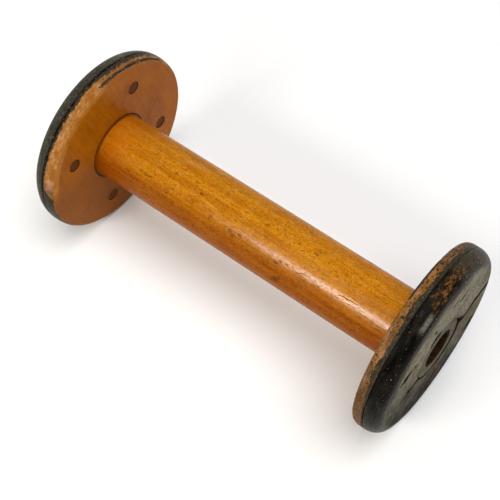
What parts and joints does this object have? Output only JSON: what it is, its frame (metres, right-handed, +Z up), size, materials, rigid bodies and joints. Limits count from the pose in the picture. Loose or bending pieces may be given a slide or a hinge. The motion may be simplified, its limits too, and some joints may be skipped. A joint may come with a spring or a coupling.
{
  "type": "wooden mill bobbin",
  "caption": "Empty wooden twin-flange thread spool: a turned barrel with a spindle bore and two painted, dowelled two-ply flanges.",
  "frame": {"origin": "on the surface that the bobbin lies on, under the middle of its length", "axes": "+X along the bobbin's axis towards its painted, most worn end, +Z up, Y across"},
  "size_m": [0.2414, 0.1142, 0.1142],
  "materials": {
    "barrel_varnish": "golden amber varnished hardwood, satin",
    "inner_ply": "orange-brown varnished wood, rim worn bare with black paint remains",
    "outer_ply": "black painted wood, glossy on the rim, worn and cracked on the face",
    "dowel": "dark brown end grain"
  },
  "bodies": {
    "root": {"barrel": "barrel_varnish", "left_inner_ply": "inner_ply", "left_outer_ply": "outer_ply", "left_dowel_1": "dowel", "left_dowel_2": "dowel", "left_dowel_3": "dowel", "left_dowel_4": "dowel", "right_inner_ply": "inner_ply", "right_outer_ply": "outer_ply", "right_dowel_1": "dowel", "right_dowel_2": "dowel", "right_dowel_3": "dowel", "right_dowel_4": "dowel"}
  },
  "joints": []
}
